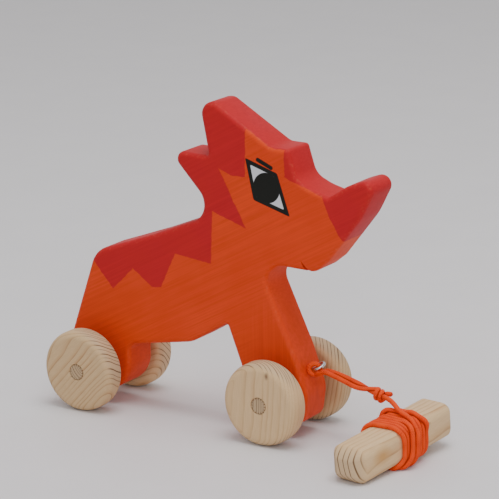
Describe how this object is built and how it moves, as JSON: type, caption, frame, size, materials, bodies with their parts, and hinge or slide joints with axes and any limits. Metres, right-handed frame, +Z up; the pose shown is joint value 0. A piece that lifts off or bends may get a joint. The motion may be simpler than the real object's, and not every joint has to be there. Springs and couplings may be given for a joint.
{
  "type": "wooden pull-along toy",
  "caption": "Flat wooden animal on rolling wheels with a tied cord and a wooden bar handle to pull it along.",
  "frame": {"origin": "on the floor, below the middle of the animal and its handle; the cord isn't counted", "axes": "+X towards the animal's nose and the handle, +Y to its left, +Z up"},
  "size_m": [0.254, 0.0992, 0.1959],
  "materials": {
    "painted_wood": "orange and red satin paint on wood, with black and white eyes",
    "pine": "bare sanded pine",
    "zinc_steel": "bright zinc plate",
    "cord": "braided orange polyester cord"
  },
  "bodies": {
    "toy_body": {"animal_body": "painted_wood", "screw_eye": "zinc_steel", "cord_bight": "cord"},
    "rear_axle_set": {"rear_axle": "pine", "rear_left_wheel": "pine", "rear_right_wheel": "pine"},
    "front_axle_set": {"front_axle": "pine", "front_left_wheel": "pine", "front_right_wheel": "pine"},
    "pull_lead": {"pull_handle": "pine", "cord_winding": "cord", "cord_strand_left": "cord", "cord_strand_right": "cord", "cord_knot": "cord", "cord_lead": "cord"}
  },
  "joints": [
    {"name": "rear_axle_spin", "type": "hinge", "parent": "toy_body", "child": "rear_axle_set", "pos_m": [-0.10118, 0.01506, 0.025], "axis": [0, 1, 0], "continuous": true},
    {"name": "front_axle_spin", "type": "hinge", "parent": "toy_body", "child": "front_axle_set", "pos_m": [0.02882, 0.01506, 0.025], "axis": [0, 1, 0], "continuous": true},
    {"name": "lead_swing", "type": "hinge", "parent": "toy_body", "child": "pull_lead", "pos_m": [0.05702, 0.01106, 0.04198], "axis": [0, -1, 0], "range_deg": [0, 70]}
  ]
}
